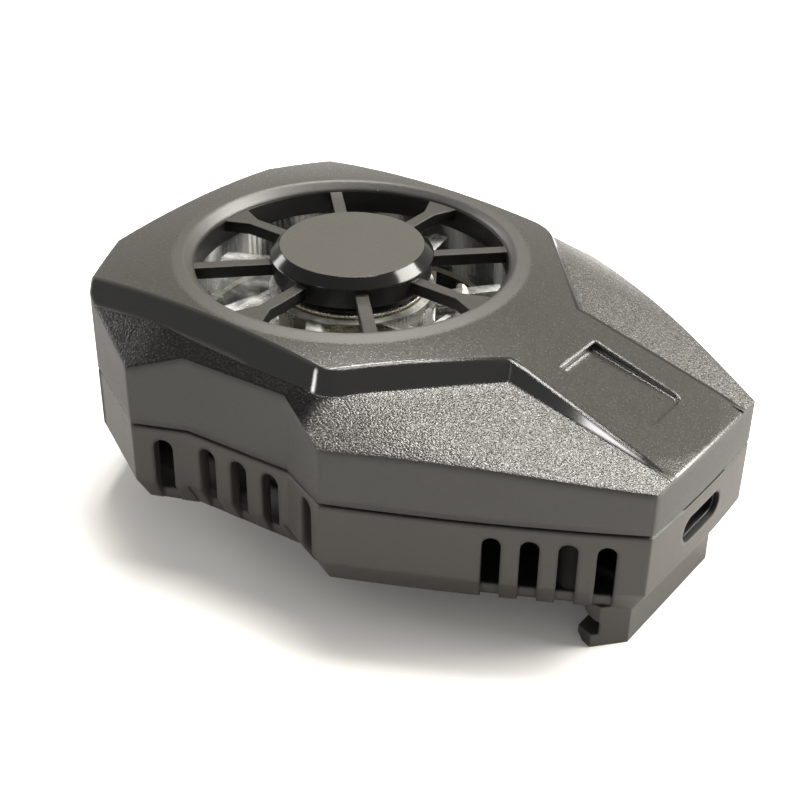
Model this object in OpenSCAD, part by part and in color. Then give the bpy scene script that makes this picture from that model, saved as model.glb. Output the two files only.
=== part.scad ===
// Clip-on cooling fan for a phone: a faceted two-shell body, an eight-spoke grille over a clear
// impeller, a finned cooler on a contact plate, and a sprung clamp jaw under the narrow end.
// Millimetres. The fan axis is Z, the phone's back lies on z = 0 and +X points to the socket end.

/* [Body outline] */
// Fan axis to the narrow end wall
nose_x = 53.7; // [53:0.1:55]
// Half width of the narrow end
nose_half = 12.5; // [12.2:0.1:13.2]
// Fan axis to the front shoulder, along the body
shoulder_x = 19.6; // [18.5:0.1:20.5]
// Half width at the front shoulder
shoulder_half = 31; // [30.5:0.1:32]
// Fan axis to the front end of the waist
waist_x = 12.2; // [11.2:0.1:13]
// Half width at the front end of the waist
waist_half = 28.1; // [27.9:0.1:28.6]
// Fan axis to the rear end of the waist
hip_in_x = -3.1; // [-4:0.1:-2]
// Half width at the rear end of the waist
hip_in_half = 29.3; // [29:0.1:29.8]
// Fan axis to the rear hip
hip_x = -10.1; // [-11:0.1:-9.4]
// Half width at the rear hip
hip_half = 32.4; // [31.8:0.1:33.2]
// Fan axis to the rear side corner
quarter_x = -23.4; // [-24:0.1:-22.8]
// Half width at the rear side corner
quarter_half = 25.5; // [25.2:0.1:26]
// Length of the body behind the fixed hook's grip face
tail_gap = 6.7; // [6.4:0.1:7.4]
// Half width of the rear end
tail_half = 15.4; // [15:0.1:16.5]
// Outward bow of each long side wall
side_bow = 0.6; // [0.4:0.1:0.8]
// Outward bow of the narrow end wall
nose_bow = 0.45; // [0.2:0.05:0.6]

/* [Shell] */
// Wall thickness of both shells
wall = 1.8; // [1.6:0.1:2]
// Floor thickness of the lower shell
floor_t = 1.6; // [1.5:0.1:1.8]
// Height of the parting line
parting_z = 12.2; // [12:0.1:12.5]
// Height of the groove that shows as the parting line
groove_h = 0.4; // [0.3:0.05:0.5]
// Depth of that groove
groove_d = 0.7; // [0.5:0.1:0.9]
// Drop of the deck under its own surface to the inside
roof_t = 2; // [1.8:0.1:2.2]
// Height of the bottom edge chamfer
chamfer_h = 3.6; // [3:0.1:4]
// Run of the bottom edge chamfer
chamfer_run = 1.9; // [1.5:0.1:2.1]

/* [Deck] */
// Height of the deck's dome over the fan axis, where the fan opening cuts it away
deck_z = 28.8; // [28.6:0.1:28.9]
// Radius of the dome across the body
crown_r = 150; // [140:5:160]
// Radius of the dome along the body
sweep_r = 160; // [155:5:170]
// Highest place of the dome along the body
dome_x = -2; // [-3:0.5:-1]
// Half width of the deck
deck_half = 24.6; // [24.4:0.1:24.8]
// Fan axis to the deck's front corner
deck_front_x = 15.5; // [15:0.1:16.5]
// Fan axis to the neck where the spine starts
neck_x = 30.5; // [30:0.1:31.5]
// Half width of the spine at the neck
neck_half = 8; // [7.6:0.1:8.6]
// Height of the spine at the neck
neck_z = 25.4; // [25.3:0.1:25.5]
// Half width of the spine at the narrow end
spine_half = 9.5; // [9:0.1:10]
// Height of the spine at the narrow end
spine_z = 18.8; // [18.6:0.1:19.2]
// Fall of the bright bevel for each millimetre it runs outward
bevel_fall = 1.7; // [1.5:0.1:1.9]
// Height of the side wall at the narrow end
nose_z = 18.2; // [17.9:0.1:18.4]
// Height of the side wall at the front shoulder
shoulder_z = 20; // [19.7:0.1:20.4]
// Height of the side wall along the waist
waist_z = 23.05; // [22.8:0.05:23.2]
// Fall of the waist panels for each millimetre outward
waist_fall = 0.25; // [0.2:0.05:0.35]
// Height of the side wall at the rear hip
hip_z = 20.5; // [20.2:0.1:20.8]
// Height of the shoulder panel at the rear side corner
quarter_z = 22.9; // [22.6:0.1:23.1]
// Radius of the soft ridge between the front side panels and the shoulders
ridge_r = 30; // [20:5:40]
// Outward run of the bright bevel at the neck
strip_run = 1.4; // [1.2:0.1:1.6]
// Rounding where the deck's bevels turn at its front corners
corner_r = 8; // [5:1:9]
// Length of the shallow thumb recess on the spine
recess_l = 13; // [11:0.5:14]
// Width of that recess
recess_w = 8; // [7:0.5:9]
// Depth of that recess at its fan end
recess_d = 1.1; // [0.8:0.1:1.2]
// Depth of that recess at its socket end
recess_end = 0.4; // [0.3:0.05:0.5]

/* [Vents] */
// Width of the vents in the long front walls
front_vent_w = 2.3; // [2:0.1:2.6]
// Pitch of the vents in the long front walls
front_vent_pitch = 4.5; // [4.3:0.1:4.7]
// Number of vents in each long front wall
front_vents = 4; // [2:1:5]
// Width of the vents around the fan
rear_vent_w = 2.6; // [2.2:0.1:2.8]
// Pitch of the vents in the waist
rear_vent_pitch = 4.9; // [4.6:0.1:5]
// Drop from the parting line to the top of a vent
vent_drop = 1.6; // [1.4:0.1:2.2]

/* [Fan] */
// Radius of the fan opening
fan_r = 20.9; // [20.7:0.1:21]
// Height of the opening's lip under the deck
lip_z = 26.1; // [25.9:0.1:26.2]
// Number of grille spokes
spokes = 8; // [8:4:12]
// Width of a spoke
spoke_w = 1.7; // [1.4:0.1:2]
// Height of a spoke
spoke_h = 1.6; // [1.4:0.1:1.9]
// Width of the foot on every second spoke
spoke_foot = 5.6; // [4.6:0.2:6.4]
// Radius of the hub cap at its lower edge
hub_r = 10.9; // [10.6:0.1:11.2]
// Radius of the flat top of the hub cap
cap_r = 9.6; // [9.2:0.1:9.9]
// Height of the top of the hub cap
cap_z = 28.2; // [28:0.1:28.5]
// Number of impeller blades
blades = 7; // [5:1:9]
// Thickness of a blade
blade_t = 0.8; // [0.6:0.1:1]
// Gap from the blade tips to the duct
tip_gap = 0.9; // [0.7:0.1:1.2]

/* [Motor] */
// Radius of the motor shaft
shaft_r = 1; // [0.9:0.05:1.1]
// Running clearance of the shaft in its bush
shaft_gap = 0.03; // [0.02:0.01:0.05]
// Outer radius of the steel rotor cup
cup_r = 10; // [9.9:0.1:10.3]
// Outer radius of the stator
stator_r = 7.9; // [7.6:0.1:8]
// Number of stator poles
poles = 4; // [4:2:6]

/* [Cooler] */
// Side of the contact plate where it shows in the floor
plate_w = 36; // [34:0.5:36.5]
// Width of the plate's flange on the floor
plate_flange = 2; // [1.6:0.1:2.2]
// Thickness of the plate's flange
flange_t = 0.8; // [0.7:0.1:1]
// Margin from the plate's edge to the thermoelectric tile
tile_margin = 3; // [3:0.1:3.6]
// Thickness of the tile
tile_t = 3; // [2.8:0.1:3.2]
// Number of heat sink fins
fins = 13; // [9:2:15]
// Thickness of a fin
fin_t = 0.8; // [0.6:0.1:1]

/* [Clamp] */
// Travel of the clamp jaw
jaw_travel = 15; // [10:0.5:15]
// Outer face of the jaw, from the fan axis
jaw_x = 51.3; // [51:0.1:51.6]
// Half width of the jaw's outer face
jaw_half = 10.4; // [10:0.1:11]
// Half width of the jaw where its cheeks end
cheek_half = 14.1; // [13.8:0.1:14.4]
// Thickness of the jaw's upright plate
jaw_t = 2.6; // [2.4:0.1:2.8]
// Reach of the lip under the phone's front
lip_reach = 2.8; // [2.4:0.1:3]
// Clear height between the contact face and the lip
throat = 4.4; // [4.4:0.1:5]
// Thickness of the lip
lip_t = 1.9; // [1.8:0.1:2.3]
// Half width of the rear hook
hook_half = 11; // [10.5:0.5:11.5]
// Gap from the plate's flange to the inner face of the hook
hook_gap = 1.6; // [1.4:0.1:2]
// Thickness of the rubber pads
pad_t = 0.7; // [0.5:0.1:0.8]
// Half width of the jaw's tongue
tongue_half = 8.8; // [8.6:0.1:9]
// Running clearance around the tongue
slide_gap = 0.15; // [0.1:0.05:0.2]
// Wire radius of the return springs
wire_r = 0.2; // [0.15:0.05:0.2]
// Turns of each return spring
spring_turns = 9; // [7:1:9]
// Mean radius of a return spring
coil_r = 1.25; // [1.1:0.05:1.3]

/* [Socket] */
// Width of the socket's metal shell
usb_w = 8.94; // [8.9:0.02:9]
// Height of the socket's metal shell
usb_h = 3.26; // [3.16:0.02:3.3]
// Gap around the shell in the wall
usb_gap = 0.25; // [0.15:0.05:0.35]
// Sheet thickness of the shell
usb_t = 0.3; // [0.25:0.05:0.35]
// Thickness of the main board
board_t = 1; // [0.8:0.1:1.2]

/* [Hidden] */
$fn = 96;
e = 0.01;
big = 240;

shell_grey = [0.13, 0.13, 0.13];
gloss_black = [0.03, 0.03, 0.03];
clear_tint = [0.85, 0.88, 0.9, 0.4];
steel = [0.7, 0.7, 0.72];
alu = [0.75, 0.76, 0.78];
board_green = [0.08, 0.3, 0.16];
rubber = [0.05, 0.05, 0.05];

hook_x = -(plate_w / 2 + plate_flange + hook_gap);
tail_x = hook_x - tail_gap;

// Corners of one side of the body, from the narrow end to the rear
side = [[nose_x, nose_half], [shoulder_x, shoulder_half], [waist_x, waist_half],
    [hip_in_x, hip_in_half], [hip_x, hip_half], [quarter_x, quarter_half], [tail_x, tail_half]];
outline = concat(side, [for (i = [len(side) - 1:-1:0]) [side[i].x, -side[i].y]]);

tile_w = plate_w - 2 * tile_margin;

// Heights that stack up inside the body
flange_z = floor_t + flange_t;
tile_z = flange_z + tile_t;
sink_base = 1.5;
sink_z = tile_z + sink_base;
fin_z = 13.2;
ring_seat_z = 15.1;
led_board_t = 0.8;
ring_z = ring_seat_z + led_board_t;
duct_z = 23;
duct_t = 1.6;
duct_r = fan_r + duct_t;
spoke_top = lip_z;
hub_floor = 24.1;
cap_seat = cap_z - 1.5;
spigot_r = 3;
spigot_h = 1;
slip = 0.05;

// Sizes of the motor
motor_board_t = 0.8;
motor_board_r = stator_r + 0.7;
motor_screw_grip = 1.4;
motor_head_h = 0.6;
bush_r = 2.2;
bush_z = 17.3;
stator_z = 18.3;
stator_h = 4;
coil_over = 0.7;
cup_z = 15.3;
cup_t = 0.6;
cup_floor = 0.8;
cup_h = 7.4;
magnet_t = 1.1;
hub_wall = 1.2;
blade_r = fan_r - tip_gap;
impeller_z = 14.7;
impeller_h = 7.4;
motor_screw_r = 0.8;
motor_screw_at = 6.4;

// Sizes of the cooler
sink_half = plate_w / 2 + 1;
sink_screw_at = plate_w / 2 - 1.4;
sink_screw_r = 1;
fin_half = sink_screw_at - 2.4;
fin_pitch = (2 * sink_half - fin_t) / (fins - 1);

// Sizes of the clamp
channel_z = 0.8;
tongue_z = channel_z + slide_gap;
tongue_t = 0.75;
channel_top = tongue_z + tongue_t + slide_gap;
channel_roof = channel_top + 1.25;
web_half = tongue_half - 1.6;
pad_rib = 0.2;
tongue_x = 24;
channel_x = tongue_x - 1.4;
jaw_in = jaw_x - jaw_t;
cheek_x = jaw_x - 3.2;
lip_x = jaw_in - lip_reach;
lip_z0 = -throat - lip_t;
jaw_top = -slide_gap;
rib_r = 2.4;
rib_w = 1.8;
rib_y = cheek_half - 1.6;
hook_out = hook_x - 3.7;
hook_rim = 2;
hook_bevel = 1.4;
foot_l = 3.4;
pin_r = 0.7;
pin_x = 33;
post_x = channel_x + 0.6;
spring_y = 8;
spring_z = channel_roof + coil_r + wire_r + 0.4;
pin_top = spring_z + 1;
slot_half = pin_r + 0.25;

// Sizes of the board and the socket
board_x0 = 27;
board_x1 = nose_x - 2.6;
board_half = spring_y - coil_r - wire_r - 0.5;
board_z = channel_roof + 2.3;
usb_z = board_z + board_t + usb_h / 2;
usb_l = 7.2;
usb_front = nose_x - 0.2;
usb_back = usb_front - usb_l;

// Screw places: front pair beside the springs, rear pair behind the cooler
ring_mid = fan_r + duct_t / 2 + 0.6;
ring_rim = 1.7;
boss_r = 2.4;
boss_gap = 0.5;
boss_ring = ring_mid + ring_rim + boss_r + boss_gap;
boss_x = max(boss_ring * cos(30.4), plate_w / 2 + plate_flange + boss_r + boss_gap);
boss_at = [[44, 12.6], [-boss_x, boss_ring * sin(30.4)]];
screw_r = 0.9;
screw_hole = 1.1;
screw_head_r = 1.8;
screw_head_h = 1.4;
screw_pocket = 1.8;
screw_top = parting_z + 3;
post_at = [[0, 1], [-1, 0], [0, -1], [1, 0]];
post_r = 1.5;
hook_screw_y = 7;
hook_screw_l = 3.2;
hook_head_h = 1.2;
hook_screw_x = hook_x - pad_t - screw_r - 0.45;

function unit(v) = v / norm(v);
function up(n) = n.z < 0 ? -n : n;
function at(p, z) = [p.x, p.y, z];
function dome_edge(y) = sweep_r - crown_r + sqrt(crown_r * crown_r - y * y);
function dome_z(x, y) = let (r = dome_edge(y))
    deck_z - sweep_r + sqrt(r * r - (x - dome_x) * (x - dome_x));

// Moves every side of a loop inward and meets the neighbours again
function inset(p, t) = let (n = len(p)) [for (i = [0:n - 1])
    let (u = unit(p[i] - p[(i + n - 1) % n]), v = unit(p[(i + 1) % n] - p[i]),
        nu = [-u.y, u.x], nv = [-v.y, v.x])
    p[i] + t * (nu + nv) / (1 + nu * nv)];

// Everything under the plane through p with the normal n
module below(p, n) {
    translate(p)
        rotate([0, acos(n.z / norm(n)), atan2(n.y, n.x)])
            translate([-big / 2, -big / 2, -big / 3])
                cube([big, big, big / 3]);
}

module both_sides() {
    children();
    mirror([0, 1, 0]) children();
}

// Radius and centre of an arc that bows outward by s over the wall from a to b
function bow_r(a, b, s) = (pow(norm(b - a) / 2, 2) + s * s) / (2 * s);
function bow_centre(a, b, s) = let (u = unit(b - a))
    (a + b) / 2 - [u.y, -u.x] * (bow_r(a, b, s) - s);

module bow(a, b, s) {
    translate(bow_centre(a, b, s)) circle(r = bow_r(a, b, s), $fn = 720);
}

// Plan of the body: straight walls, with the long sides and the narrow end trimmed to a bow
module body_2d() {
    n = len(outline);
    ext = side[1] + 3 * unit(side[1] - side[2]);
    tip = [nose_x + 3, nose_half + 3];
    intersection() {
        polygon(concat([tip, ext], [for (i = [2:n - 3]) outline[i]], [[ext.x, -ext.y], [tip.x, -tip.y]]));
        bow(outline[0], outline[1], side_bow);
        bow(outline[n - 2], outline[n - 1], side_bow);
        bow(outline[n - 1], outline[0], nose_bow);
    }
}

module column(z0, z1) {
    translate([0, 0, z0]) linear_extrude(z1 - z0) body_2d();
}

module inner_column(t, z0, z1) {
    translate([0, 0, z0]) linear_extrude(z1 - z0) polygon(inset(outline, t));
}

// The dome that the deck is cut to: an arc with a bevelled edge on each side of the body,
// swept along the body on a slightly wider arc
module dome() {
    edge = dome_edge(deck_half);
    low = bevel_fall * 15;
    wide = deck_half + 15;
    translate([dome_x, 0, deck_z - sweep_r]) rotate([90, 0, 0]) rotate_extrude($fn = 720)
        intersection() {
            translate([sweep_r - crown_r, 0]) circle(r = crown_r, $fn = 720);
            polygon([[edge + bevel_fall * deck_half, 0], [edge - low, wide], [sweep_r - 45, wide],
                [sweep_r - 45, -wide], [edge - low, -wide]]);
        }
}

// Everything under two planes that meet in a ridge at p, with the ridge rounded in narrow facets
module below_ridge(p, n1, n2, r, facets = [0:0.2:1]) {
    a = unit(n1);
    b = unit(n2);
    rise = unit(a + b);
    axis = p - rise * r / (a * rise);
    intersection_for (t = facets) {
        n = unit(a * (1 - t) + b * t);
        below(axis + n * r, n);
    }
}

// Corner points of the deck and the spine on the +Y side
deck_c = [neck_x, neck_half, neck_z];
deck_b = [deck_front_x, deck_half, dome_z(deck_front_x, deck_half)];
spine_d = [nose_x, spine_half, spine_z];
spine_n = [neck_z - spine_z, 0, nose_x - neck_x];
cb_out = unit([deck_half - neck_half, neck_x - deck_front_x]);
cb_n = up(cross(deck_c - deck_b, [cb_out.x, cb_out.y, -bevel_fall]));
be_n = [(dome_z(deck_front_x - 1, deck_half) - dome_z(deck_front_x + 1, deck_half)) / 2, bevel_fall, 1];
cd_n = up(cross(spine_d - deck_c, [0, 1, -bevel_fall]));
foot_c = deck_c + [cb_out.x * strip_run, cb_out.y * strip_run, -strip_run * bevel_fall];
foot_b = deck_b + [cb_out.x * strip_run, cb_out.y * strip_run, -strip_run * bevel_fall];

// Deck with the fan and the spine that slopes to the narrow end, with their bevels
module raised_panel() {
    intersection() {
        column(0, 40);
        dome();
        below(deck_c, spine_n);
        both_panels();
    }
}

module both_panels() {
    union() {
        intersection() {
            below(deck_b, cb_n);
            mirror([0, 1, 0]) below(deck_b, cb_n);
            below_ridge(deck_b, be_n, cb_n, corner_r, [0.2:0.2:0.8]);
            mirror([0, 1, 0]) below_ridge(deck_b, be_n, cb_n, corner_r, [0.2:0.2:0.8]);
        }
        intersection() {
            below(deck_c, cd_n);
            mirror([0, 1, 0]) below(deck_c, cd_n);
            translate([neck_x - 8, -30, -20]) cube([60, 60, 60]);
        }
    }
}

// Side panels that fall outward from the bevels to the tops of the walls
module side_panels() {
    w = at(side[1], shoulder_z);
    n = at(side[0], nose_z);
    s = at(side[2], waist_z);
    m = at(side[3], waist_z);
    a = at(side[4], hip_z);
    q = at(side[5], quarter_z);
    both_sides() intersection() {
        column(0, 40);
        translate([-60, -e, -1]) cube([140, 60, 60]);
        below_ridge(foot_b, up(cross(foot_c - n, foot_b - n)), up(cross(s - w, foot_b - w)), ridge_r);
        below(s, up(cross(s - m, [0, 1, -waist_fall])));
        below(m, up(cross(a - m, q - m)));
    }
}

// Flat plan of the deck and spine, used to keep the side panels out of the middle
module panel_plan(t) {
    b = [deck_front_x, deck_half];
    c = [neck_x, neck_half];
    d = [nose_x + 4, spine_half];
    r = [tail_x - 4, deck_half];
    polygon(inset([d, c, b, r, [r.x, -r.y], [b.x, -b.y], [c.x, -c.y], [d.x, -d.y]], t));
}

module top_mass() {
    difference() {
        side_panels();
        translate([0, 0, -2]) linear_extrude(60) panel_plan(0.6);
    }
    raised_panel();
}

module top_bosses(r, z1) {
    for (p = boss_at, s = [1, -1])
        translate([p.x, s * p.y, parting_z]) cylinder(r = r, h = z1);
}

// Shallow recess on the spine, deepest at the end towards the fan
module spine_recess() {
    tilt = atan2(neck_z - spine_z, nose_x - neck_x);
    x0 = neck_x + 4.8;
    z0 = neck_z - (x0 - neck_x) * tan(tilt);
    translate([x0, 0, z0]) rotate([0, tilt, 0])
        difference() {
            rotate([0, -atan2(recess_d - recess_end, recess_l), 0])
                translate([0, -recess_w / 2, -recess_d])
                    cube([recess_l, recess_w, 6]);
            for (s = [1, -1])
                translate([recess_l, s * recess_w / 2, -4])
                    corner_round(1.2, s);
        }
}

module corner_round(r, s) {
    difference() {
        translate([-r, s > 0 ? -r : 0, 0]) cube([r + 1, r, 12]);
        translate([-r, -s * r, -1]) cylinder(r = r, h = 14);
    }
}

module top_shell() {
    color(shell_grey) difference() {
        union() {
            difference() {
                intersection() {
                    top_mass();
                    column(parting_z, 40);
                }
                intersection() {
                    translate([0, 0, -roof_t]) top_mass();
                    inner_column(wall, parting_z - 1, 40);
                }
            }
            intersection() {
                translate([0, 0, -roof_t / 2]) top_mass();
                union() {
                    top_bosses(boss_r, 14);
                    translate([0, 0, duct_z]) cylinder(r = duct_r + 1.6, h = 8);
                }
            }
        }
        translate([0, 0, duct_z - 1]) cylinder(r = duct_r + slip, h = lip_z - duct_z + 1);
        translate([0, 0, lip_z - e]) cylinder(r1 = fan_r, r2 = fan_r + 6, h = 6);
        top_bosses(screw_r + slip, screw_top - parting_z + 0.6);
        spine_recess();
        translate([0, 0, parting_z - e]) linear_extrude(groove_h / 2 + e) groove_2d();
    }
}

module groove_2d() {
    difference() {
        translate([-60, -60]) square(140);
        polygon(inset(outline, groove_d));
    }
}

// Eight-spoke guard with its duct wall and the hub that carries the motor
module grille() {
    color(shell_grey) {
        difference() {
            union() {
                difference() {
                    translate([0, 0, duct_z]) cylinder(r = duct_r, h = lip_z - duct_z);
                    translate([0, 0, duct_z - 1]) cylinder(r = fan_r, h = 10);
                }
                for (i = [0:spokes - 1])
                    rotate(i * 360 / spokes) {
                        translate([hub_r - 1, -spoke_w / 2, spoke_top - spoke_h])
                            cube([fan_r - hub_r + 1.6, spoke_w, spoke_h]);
                        if (i % 2 == 0) spoke_gusset();
                    }
                translate([0, 0, hub_floor]) cylinder(r = hub_r - 0.3, h = cap_seat - hub_floor);
            }
            translate([0, 0, cap_seat - spigot_h - 0.2]) cylinder(r = spigot_r + slip, h = 4);
            for (i = [0:1]) rotate(45 + 180 * i)
                translate([motor_screw_at, 0, hub_floor - 1])
                    cylinder(r = motor_screw_r + slip, h = 2.6, $fn = 48);
        }
    }
}

// Flared foot where a main spoke meets the duct wall
module spoke_gusset() {
    foot = fan_r - foot_l;
    translate([0, 0, spoke_top - spoke_h]) linear_extrude(spoke_h)
        intersection() {
            polygon([[foot, -spoke_w / 2], [fan_r + 1, -spoke_foot / 2],
                [fan_r + 1, spoke_foot / 2], [foot, spoke_w / 2]]);
            circle(r = fan_r + 0.6);
        }
}

module hub_cap() {
    color(gloss_black) rotate_extrude()
        polygon([[0, cap_seat - spigot_h], [spigot_r, cap_seat - spigot_h], [spigot_r, cap_seat],
            [hub_r, cap_seat], [hub_r, cap_seat + 0.25], [cap_r + 0.1, cap_z - 0.1], [cap_r, cap_z],
            [0, cap_z]]);
}

// Slot with a round top, open through the bottom edge, in the wall from a to b at the run s
module vent(a, b, s, w, top) {
    u = unit(b - a);
    out = [u.y, -u.x];
    p = a + u * s;
    translate([p.x, p.y, 0]) rotate(atan2(out.y, out.x))
        translate([-wall - 0.15, 0, 0]) {
            translate([0, -w / 2, -1]) cube([wall + 3, w, top - w / 2 + 1]);
            translate([0, 0, top - w / 2]) rotate([0, 90, 0])
                cylinder(r = w / 2, h = wall + 3, $fn = 48);
        }
}

module vents() {
    top = parting_z - vent_drop;
    front = norm(side[1] - side[0]);
    waist = norm(side[3] - side[2]);
    both_sides() {
        for (i = [0:front_vents - 1])
            vent(side[0], side[1], 4.8 + i * front_vent_pitch, front_vent_w, top - 0.3);
        vent(side[1], side[2], norm(side[2] - side[1]) * 0.42, rear_vent_w, top + 0.4);
        for (i = [-1:1])
            vent(side[2], side[3], waist / 2 + i * rear_vent_pitch, rear_vent_w, top);
        vent(side[3], side[4], norm(side[4] - side[3]) * 0.47, rear_vent_w, top - 0.2);
    }
}

// Wedge of height h that takes the bottom edge off the wall from a to b, longer by ea and eb
module edge_wedge(a, b, h, ea, eb) {
    u = unit(b - a);
    run = chamfer_run * h / chamfer_h;
    translate([a.x, a.y, 0]) rotate(atan2(u.y, u.x))
        translate([-ea, 0, 0]) rotate([90, 0, 90])
            linear_extrude(norm(b - a) + ea + eb)
                polygon([[run * (1 + 1 / h), -1], [-2, h * (1 + 2 / run)], [-2, -1]]);
}

// The same for a bowed wall, as a cone around the bow's centre
module bow_wedge(a, b, s, h) {
    r = bow_r(a, b, s);
    run = chamfer_run * h / chamfer_h;
    c = bow_centre(a, b, s);
    translate([c.x, c.y, 0]) rotate_extrude($fn = 720)
        polygon([[r - run * (1 + 1 / h), -1], [r + 2, h * (1 + 2 / run)], [r + 2, -1]]);
}

// Every second wall has a slightly lower chamfer, so that no two meet in a point on a corner
module bottom_chamfer() {
    n = len(outline);
    for (i = [0:n - 1]) {
        a = outline[i];
        b = outline[(i + 1) % n];
        h = chamfer_h - (i % 2) * 0.15;
        if (i == 0 || i == n - 2)
            bow_wedge(a, b, side_bow, h);
        else if (i == n - 1)
            bow_wedge(a, b, nose_bow, h);
        else
            edge_wedge(a, b, h, turn(i) > 0 ? 1.5 : 0.6, turn((i + 1) % n) > 0 ? 1.5 : 0.6);
    }
}

// Positive where the outline turns outward, negative at the waist's inner corners
function turn(i) = let (n = len(outline), u = outline[i] - outline[(i + n - 1) % n],
    v = outline[(i + 1) % n] - outline[i]) u.x * v.y - u.y * v.x;

// Stadium outline that lies across the socket's axis
module stadium(w, h) {
    for (s = [1, -1]) translate([s * (w - h) / 2, 0]) circle(d = h, $fn = 64);
    translate([-(w - h) / 2, -h / 2]) square([w - h, h]);
}

module along_x(x0, x1, z) {
    translate([x0, 0, z]) rotate([90, 0, 90]) linear_extrude(x1 - x0) children();
}

module tongue_channel() {
    translate([channel_x, -tongue_half - slide_gap, channel_z])
        cube([60, 2 * (tongue_half + slide_gap), channel_top - channel_z]);
    translate([channel_x, -web_half - slide_gap, -1])
        cube([60, 2 * (web_half + slide_gap), channel_z + 1 + e]);
    for (s = [1, -1])
        translate([pin_x - slot_half, s * spring_y - slot_half, channel_top - e])
            cube([jaw_travel + 2 * slot_half, 2 * slot_half, 4]);
}

module lower_shell() {
    roof_half = tongue_half + slide_gap + 1.4;
    color(shell_grey) difference() {
        union() {
            difference() {
                column(0, parting_z);
                inner_column(wall, floor_t, parting_z + 1);
            }
            intersection() {
                inner_column(wall / 2, 0, parting_z);
                union() {
                    translate([channel_x - 1.4, -roof_half, floor_t / 2])
                        cube([60, 2 * roof_half, channel_roof - floor_t / 2]);
                    for (p = boss_at, s = [1, -1])
                        translate([p.x, s * p.y, floor_t / 2])
                            cylinder(r = boss_r, h = parting_z - floor_t / 2);
                }
            }
            for (p = post_at)
                translate([p.x * ring_mid, p.y * ring_mid, floor_t / 2])
                    cylinder(r = post_r, h = ring_seat_z - floor_t / 2);
            for (s = [1, -1])
                translate([post_x, s * spring_y, channel_roof - 0.5])
                    cylinder(r = pin_r, h = pin_top - channel_roof + 0.5, $fn = 48);
            for (x = [board_x0 + 2, board_x1 - 7])
                translate([x, 0, channel_roof - 0.5])
                    cylinder(r = 2, h = board_z - channel_roof + 0.5);
        }
        bottom_chamfer();
        vents();
        tongue_channel();
        translate([-plate_w / 2 - slip, -plate_w / 2 - slip, -1])
            cube([plate_w + 2 * slip, plate_w + 2 * slip, floor_t + 2]);
        for (p = boss_at, s = [1, -1]) translate([p.x, s * p.y, -1]) {
            cylinder(r = screw_hole, h = 20);
            cylinder(r = screw_head_r + 0.2, h = screw_pocket + 1);
        }
        along_x(nose_x - 4, nose_x + 4, usb_z)
            stadium(usb_w + 2 * usb_gap, usb_h + 2 * usb_gap);
        for (s = [1, -1]) translate([hook_screw_x, s * hook_screw_y, -1])
            cylinder(r = screw_hole, h = 5);
        translate([0, 0, parting_z - groove_h / 2]) linear_extrude(groove_h) groove_2d();
    }
}

// Clear light guide under the duct wall
module light_ring() {
    color(clear_tint) translate([0, 0, ring_z]) difference() {
        cylinder(r = duct_r, h = duct_z - ring_z);
        translate([0, 0, -1]) cylinder(r = fan_r + 0.1, h = 10);
    }
}

module led_board() {
    color(board_green) translate([0, 0, ring_seat_z]) difference() {
        cylinder(r = ring_mid + ring_rim, h = led_board_t);
        translate([0, 0, -1]) cylinder(r = fan_r + 0.1, h = 4);
    }
}

module leds() {
    color("white") for (i = [0:5])
        rotate(30 + 60 * i) translate([duct_r + 0.15, -0.8, ring_z]) cube([0.7, 1.6, 0.8]);
}

module contact_plate() {
    h = plate_w / 2;
    f = h + plate_flange;
    color(alu) difference() {
        union() {
            translate([-h, -h, 0]) cube([plate_w, plate_w, floor_t]);
            translate([-f, -f, floor_t]) cube([2 * f, 2 * f, flange_t]);
        }
        corner_holes(sink_screw_r + slip, 0.8, 6);
        post_notches();
    }
}

// Room for the lamp ring's posts in whatever reaches them
module post_notches() {
    for (p = post_at)
        translate([p.x * ring_mid, p.y * ring_mid, floor_t]) cylinder(r = post_r + boss_gap, h = 20);
}

module corner_holes(r, z0, h) {
    for (sx = [1, -1], sy = [1, -1])
        translate([sx * sink_screw_at, sy * sink_screw_at, z0]) cylinder(r = r, h = h, $fn = 48);
}

// Foam frame that fills the gap around the tile
module insulator() {
    f = plate_w / 2 + plate_flange;
    t = tile_w / 2 + 0.3;
    color("dimgray") difference() {
        translate([-f, -f, flange_z]) cube([2 * f, 2 * f, tile_t]);
        translate([-t, -t, flange_z - 1]) cube([2 * t, 2 * t, tile_t + 2]);
        corner_holes(sink_screw_r + 0.3, 0, 10);
        post_notches();
    }
}

module thermo_tile() {
    color("white") translate([-tile_w / 2, -tile_w / 2, flange_z]) cube([tile_w, tile_w, tile_t]);
}

// Finned heat sink that the fan blows through towards the side vents
module heat_sink() {
    color(alu) difference() {
        union() {
            translate([-sink_half, -sink_half, tile_z])
                cube([2 * sink_half, 2 * sink_half, sink_base]);
            for (i = [0:fins - 1])
                translate([-sink_half + i * fin_pitch, -fin_half, sink_z - e])
                    cube([fin_t, 2 * fin_half, fin_z - sink_z + e]);
        }
        corner_holes(sink_screw_r + 0.2, 0, 20);
        post_notches();
    }
}

module sink_screws() {
    color(steel) for (sx = [1, -1], sy = [1, -1])
        translate([sx * sink_screw_at, sy * sink_screw_at, 0]) {
            translate([0, 0, 1]) cylinder(r = sink_screw_r, h = sink_z - 1 + e, $fn = 48);
            translate([0, 0, sink_z]) pan_head(1.8, 1.2);
        }
}

// Round screw head with a cross slot
module pan_head(r, h) {
    difference() {
        cylinder(r = r, h = h, $fn = 48);
        for (a = [0, 90]) rotate(a)
            translate([-r * 0.6, -r * 0.12, h * 0.5]) cube([r * 1.2, r * 0.24, h]);
    }
}

module main_board() {
    color(board_green) translate([board_x0, -board_half, board_z])
        cube([board_x1 - board_x0, 2 * board_half, board_t]);
}

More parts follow.
